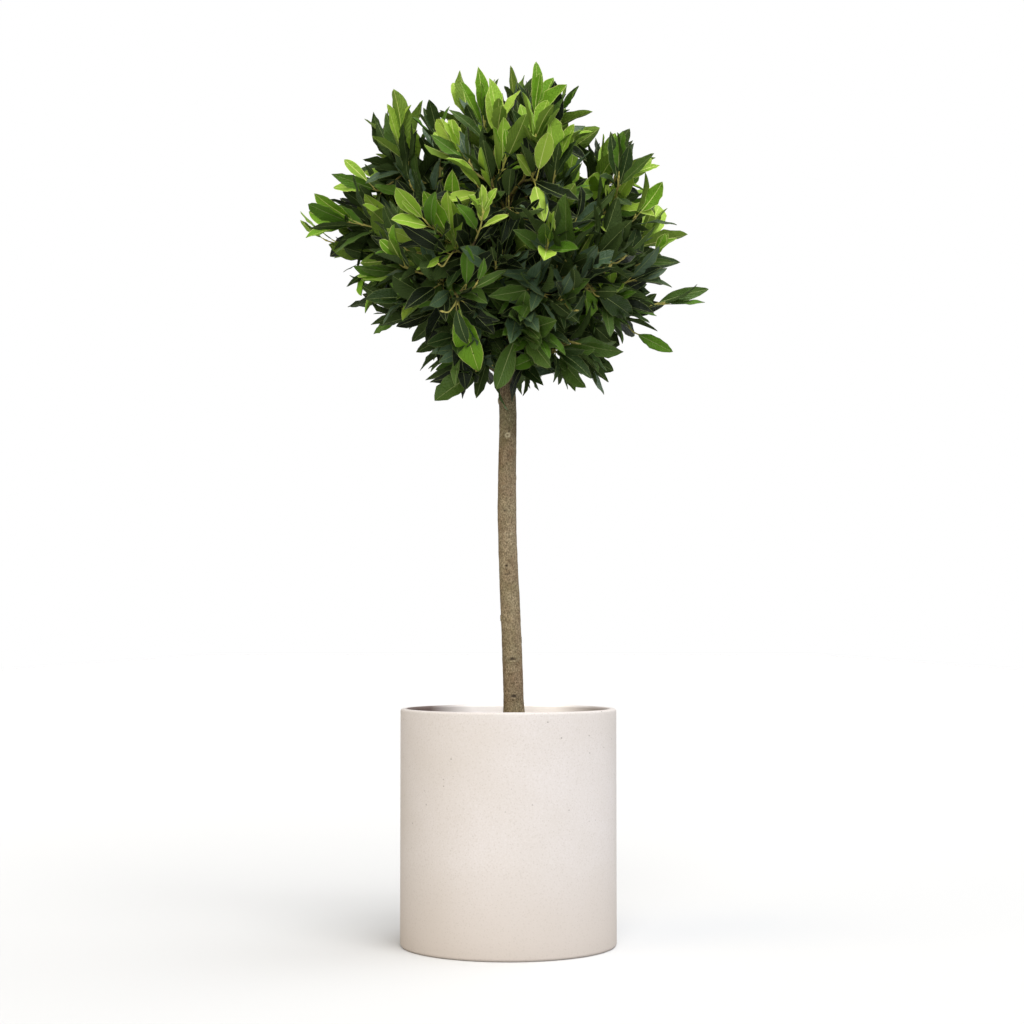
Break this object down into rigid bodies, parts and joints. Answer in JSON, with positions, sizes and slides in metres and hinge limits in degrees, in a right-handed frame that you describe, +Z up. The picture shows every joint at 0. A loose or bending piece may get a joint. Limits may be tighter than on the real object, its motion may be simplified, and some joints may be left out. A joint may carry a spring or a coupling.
{
  "type": "potted standard bay tree",
  "caption": "Standard bay tree: a bare upright stem carries a rounded head of leathery leaves, growing in a plain cylindrical planter.",
  "frame": {"origin": "centre of the planter's flat underside, on the surface it stands on", "axes": "+Z up along the planter's axis and the stem, -Y to the front, +X to the right seen from the front"},
  "size_m": [0.662, 0.5371, 1.446],
  "materials": {
    "cast_stone": "matte, fine pale grain with a few pinholes",
    "compost": "crumbly, dark brown",
    "bark": "matte, grey-brown with an olive tinge",
    "leaves": "satin, dark green with yellow-green young sprays"
  },
  "bodies": {
    "root": {"planter": "cast_stone", "compost": "compost", "trunk": "bark", "bough_top": "bark", "bough_upper_left": "bark", "bough_upper_right": "bark", "bough_upper_front": "bark", "bough_upper_back": "bark", "bough_left": "bark", "bough_right": "bark", "bough_front_left": "bark", "bough_front_right": "bark", "bough_back_left": "bark", "bough_back_right": "bark", "bough_low_left": "bark", "bough_low_right": "bark", "bough_low_front": "bark", "bough_low_back": "bark", "bough_skirt_left": "bark", "bough_skirt_right": "bark", "foliage_top": "leaves", "foliage_upper_left": "leaves", "foliage_upper_right": "leaves", "foliage_upper_front": "leaves", "foliage_upper_back": "leaves", "foliage_left": "leaves", "foliage_right": "leaves", "foliage_front_left": "leaves", "foliage_front_right": "leaves", "foliage_back_left": "leaves", "foliage_back_right": "leaves", "foliage_low_left": "leaves", "foliage_low_right": "leaves", "foliage_low_front": "leaves", "foliage_low_back": "leaves", "foliage_skirt_left": "leaves", "foliage_skirt_right": "leaves"}
  },
  "joints": []
}
